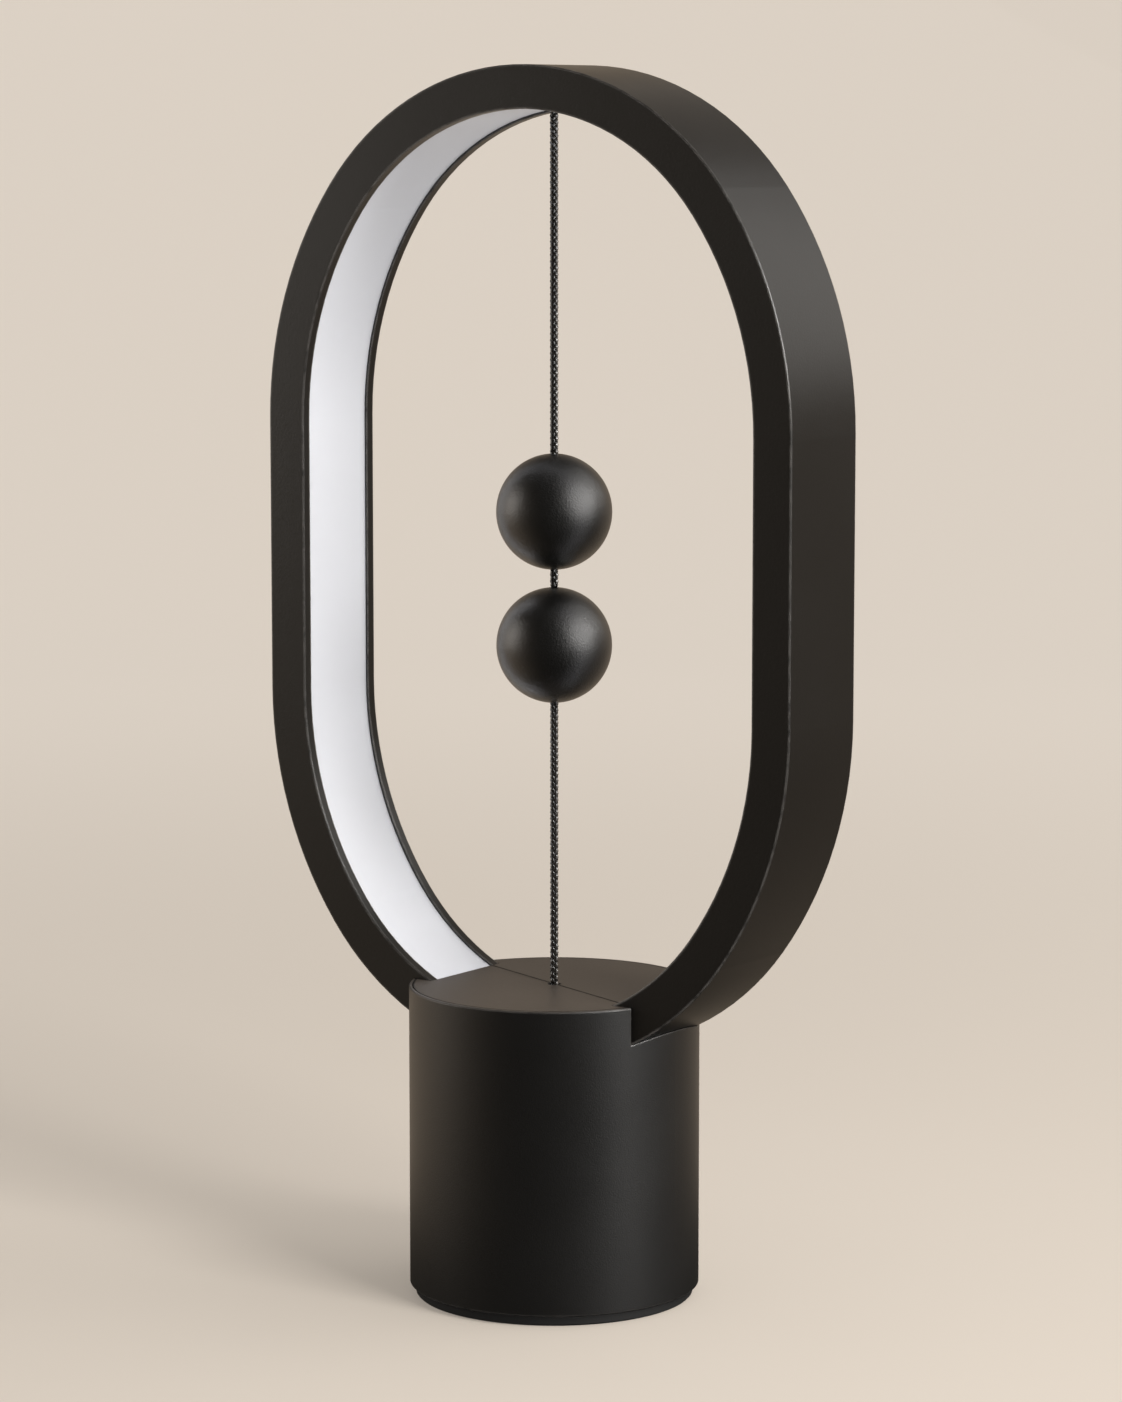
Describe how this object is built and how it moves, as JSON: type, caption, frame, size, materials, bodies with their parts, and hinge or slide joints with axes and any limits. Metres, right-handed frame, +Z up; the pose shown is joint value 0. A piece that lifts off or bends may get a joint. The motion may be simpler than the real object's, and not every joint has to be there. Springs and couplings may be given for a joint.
{
  "type": "magnetic balance lamp",
  "caption": "Table lamp: an oval light ring stands in a round base; two hanging magnetic balls meet in its middle and work a pull switch.",
  "frame": {"origin": "middle of the foot's underside, on the surface that the lamp stands on", "axes": "+Z up; the oval ring stands in the XZ plane; +X is to the right seen from the front; the front faces -Y and the power inlet +Y"},
  "size_m": [0.204, 0.095, 0.4],
  "materials": {
    "ring_metal": "satin black lacquer",
    "base_metal": "satin black lacquer, brushed round",
    "lid_metal": "satin black lacquer",
    "foot_rubber": "matte black",
    "opal": "opal white, translucent",
    "ball_shell": "fine-grained matte black",
    "cord_fabric": "braided, glossy black",
    "bush_plastic": "satin black",
    "anchor_metal": "plain",
    "bead_metal": "turned",
    "crimp_metal": "plain",
    "magnet": "nickel plated",
    "weight_iron": "as cast",
    "screw_steel": "zinc plated",
    "inner_plastic": "dark grey moulded",
    "plunger_plastic": "natural white, slippery",
    "spring_steel": "bright wire",
    "switch_plastic": "black",
    "button_plastic": "red",
    "inlet_plastic": "black",
    "inlet_pin_metal": "plated",
    "standoff_brass": "turned",
    "circuit_board": "green solder mask",
    "chip_plastic": "black",
    "capacitor_can": "sleeved",
    "choke_core": "dark grey",
    "terminal_plastic": "green",
    "strip_white": "white flexible strip",
    "led_phosphor": "yellow phosphor",
    "lead_sleeve": "black sleeve"
  },
  "bodies": {
    "stand": {"anchor_screws": "screw_steel", "base_cup": "base_metal", "board_screws": "screw_steel", "board_standoffs": "standoff_brass", "cord_bush": "bush_plastic", "counterweight": "weight_iron", "diffuser": "opal", "driver_board": "circuit_board", "driver_chip": "chip_plastic", "filter_capacitor": "capacitor_can", "foot_pad": "foot_rubber", "inlet_lead": "lead_sleeve", "inlet_pin": "inlet_pin_metal", "led_chips_left": "led_phosphor", "led_chips_right": "led_phosphor", "led_lead_left": "lead_sleeve", "led_lead_right": "lead_sleeve", "led_strip_left": "strip_white", "led_strip_right": "strip_white", "lower_cord": "cord_fabric", "microswitch": "switch_plastic", "power_choke": "choke_core", "power_inlet": "inlet_plastic", "return_spring": "spring_steel", "ring_channel": "ring_metal", "ring_cradle": "inner_plastic", "ring_screws": "screw_steel", "switch_frame": "inner_plastic", "switch_lead": "lead_sleeve", "switch_screws": "screw_steel", "terminal_blocks": "terminal_plastic", "tie_screws": "screw_steel", "top_anchor": "anchor_metal", "top_bush": "bush_plastic", "top_cover_front": "lid_metal", "top_cover_rear": "lid_metal"},
    "cord_swivel": {"stopper_bead": "bead_metal"},
    "upper_ball": {"upper_cord": "cord_fabric", "upper_crimp": "crimp_metal", "upper_ball_top": "ball_shell", "upper_ball_bottom": "ball_shell", "upper_magnet": "magnet"},
    "lower_ball": {"lower_ball_top": "ball_shell", "lower_ball_bottom": "ball_shell", "lower_magnet": "magnet", "lower_crimp": "crimp_metal"},
    "pull_plunger": {"pull_plunger": "plunger_plastic", "cord_ferrule": "crimp_metal"},
    "switch_lever": {"switch_lever": "spring_steel"},
    "switch_button": {"switch_button": "button_plastic"}
  },
  "joints": [
    {"name": "upper_swing_front_back", "type": "hinge", "parent": "stand", "child": "cord_swivel", "pos_m": [0, 0, 0.3912], "axis": [1, 0, 0], "range_deg": [-20, 20]},
    {"name": "upper_swing_side", "type": "hinge", "parent": "cord_swivel", "child": "upper_ball", "pos_m": [0, 0, 0.3912], "axis": [0, 1, 0], "range_deg": [-20, 20]},
    {"name": "lower_ball_drop", "type": "slide", "parent": "stand", "child": "lower_ball", "axis": [0, 0, 1], "range_m": [-0.0924, 0], "deforming": ["lower_cord"]},
    {"name": "plunger_travel", "type": "slide", "parent": "stand", "child": "pull_plunger", "axis": [0, 0, 1], "range_m": [-0.003, 0], "deforming": ["return_spring"]},
    {"name": "lever_tilt", "type": "hinge", "parent": "stand", "child": "switch_lever", "pos_m": [0.0205, 0, 0.0766], "axis": [0, 1, 0], "range_deg": [-15.1, 0]},
    {"name": "button_travel", "type": "slide", "parent": "stand", "child": "switch_button", "axis": [0, 0, 1], "range_m": [-0.001, 0]}
  ],
  "couplings": [
    {"joint": "plunger_travel", "follows": "lower_ball_drop", "ratio": 0.0324},
    {"joint": "lever_tilt", "follows": "lower_ball_drop", "rad_per_m": 2.833},
    {"joint": "button_travel", "follows": "lower_ball_drop", "ratio": 0.0108}
  ]
}
